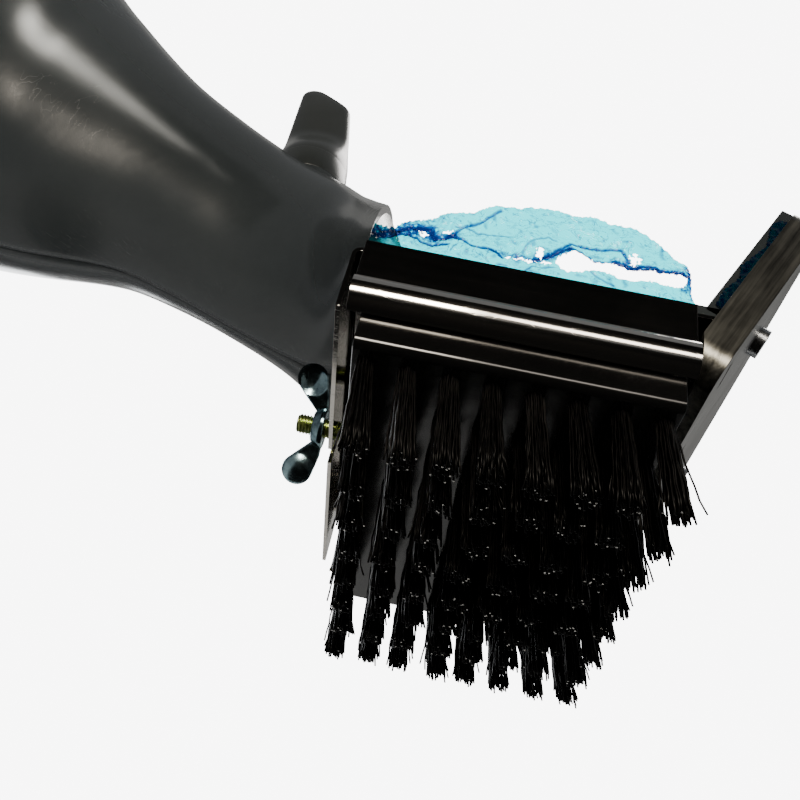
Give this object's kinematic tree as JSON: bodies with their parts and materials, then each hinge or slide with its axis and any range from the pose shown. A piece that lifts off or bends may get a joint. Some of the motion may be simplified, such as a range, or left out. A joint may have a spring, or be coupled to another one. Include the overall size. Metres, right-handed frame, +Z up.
{
  "type": "grill_brush",
  "caption": "Water-fed grill cleaning brush with a hollow handle, a quarter-turn valve, a steel head and a removable wire brush block",
  "frame": {"origin": "centre of the bounding box in X and Y, at the level of the bristle tips", "axes": "+X from the cap end of the handle to the head, +Y across the head (along the hanging hole), +Z up; the bristles point down"},
  "size_m": [0.4342, 0.1178, 0.2117],
  "materials": {
    "handle_plastic": "glossy",
    "knob_plastic": "glossy",
    "black_plastic": "satin",
    "block_plastic": "glossy",
    "tube_plastic": "satin",
    "seal_rubber": "matte",
    "head_steel": "polished",
    "tray_steel": "brushed",
    "bristle_wire": "satin",
    "screw_zinc": "plated",
    "nut_zinc": "blue-white zinc",
    "yellow_zinc": "yellow zinc",
    "film_blue": "thin torn film"
  },
  "bodies": {
    "handle": {"handle_shell_left": "handle_plastic", "handle_shell_right": "handle_plastic", "head_shoe": "handle_plastic", "filler_neck": "handle_plastic", "valve_body": "handle_plastic", "stem_seal": "seal_rubber", "feed_tube": "tube_plastic", "spray_nozzle": "black_plastic", "head_bracket": "head_steel", "front_tray": "tray_steel", "shoe_screws": "screw_zinc", "tray_screws": "screw_zinc", "protective_film": "film_blue", "tray_film": "film_blue"},
    "valve": {"valve_stem": "black_plastic", "valve_knob": "knob_plastic"},
    "cap": {"fill_cap": "black_plastic", "cap_gasket": "seal_rubber"},
    "brush": {"brush_block": "block_plastic", "tuft_row_1": "bristle_wire", "tuft_row_2": "bristle_wire", "tuft_row_3": "bristle_wire", "tuft_row_4": "bristle_wire", "tuft_row_5": "bristle_wire", "tuft_row_6": "bristle_wire", "tuft_row_7": "bristle_wire", "tuft_row_8": "bristle_wire", "clamp_stud": "yellow_zinc"},
    "nut": {"wing_nut": "nut_zinc"}
  },
  "joints": [
    {"name": "valve_turn", "type": "hinge", "parent": "handle", "child": "valve", "pos_m": [0.08189, 0, 0.134], "axis": [-0.0958, 0, 0.9954], "range_deg": [0, 90]},
    {"name": "cap_turn", "type": "hinge", "parent": "handle", "child": "cap", "pos_m": [-0.18561, 0, 0.154], "axis": [1, 0, 0], "continuous": true},
    {"name": "brush_slide", "type": "slide", "parent": "handle", "child": "brush", "axis": [0, 0, -1], "range_m": [0, 0.036]},
    {"name": "nut_turn", "type": "hinge", "parent": "brush", "child": "nut", "pos_m": [0.10839, 0, 0.04], "axis": [1, 0, 0], "continuous": true}
  ]
}
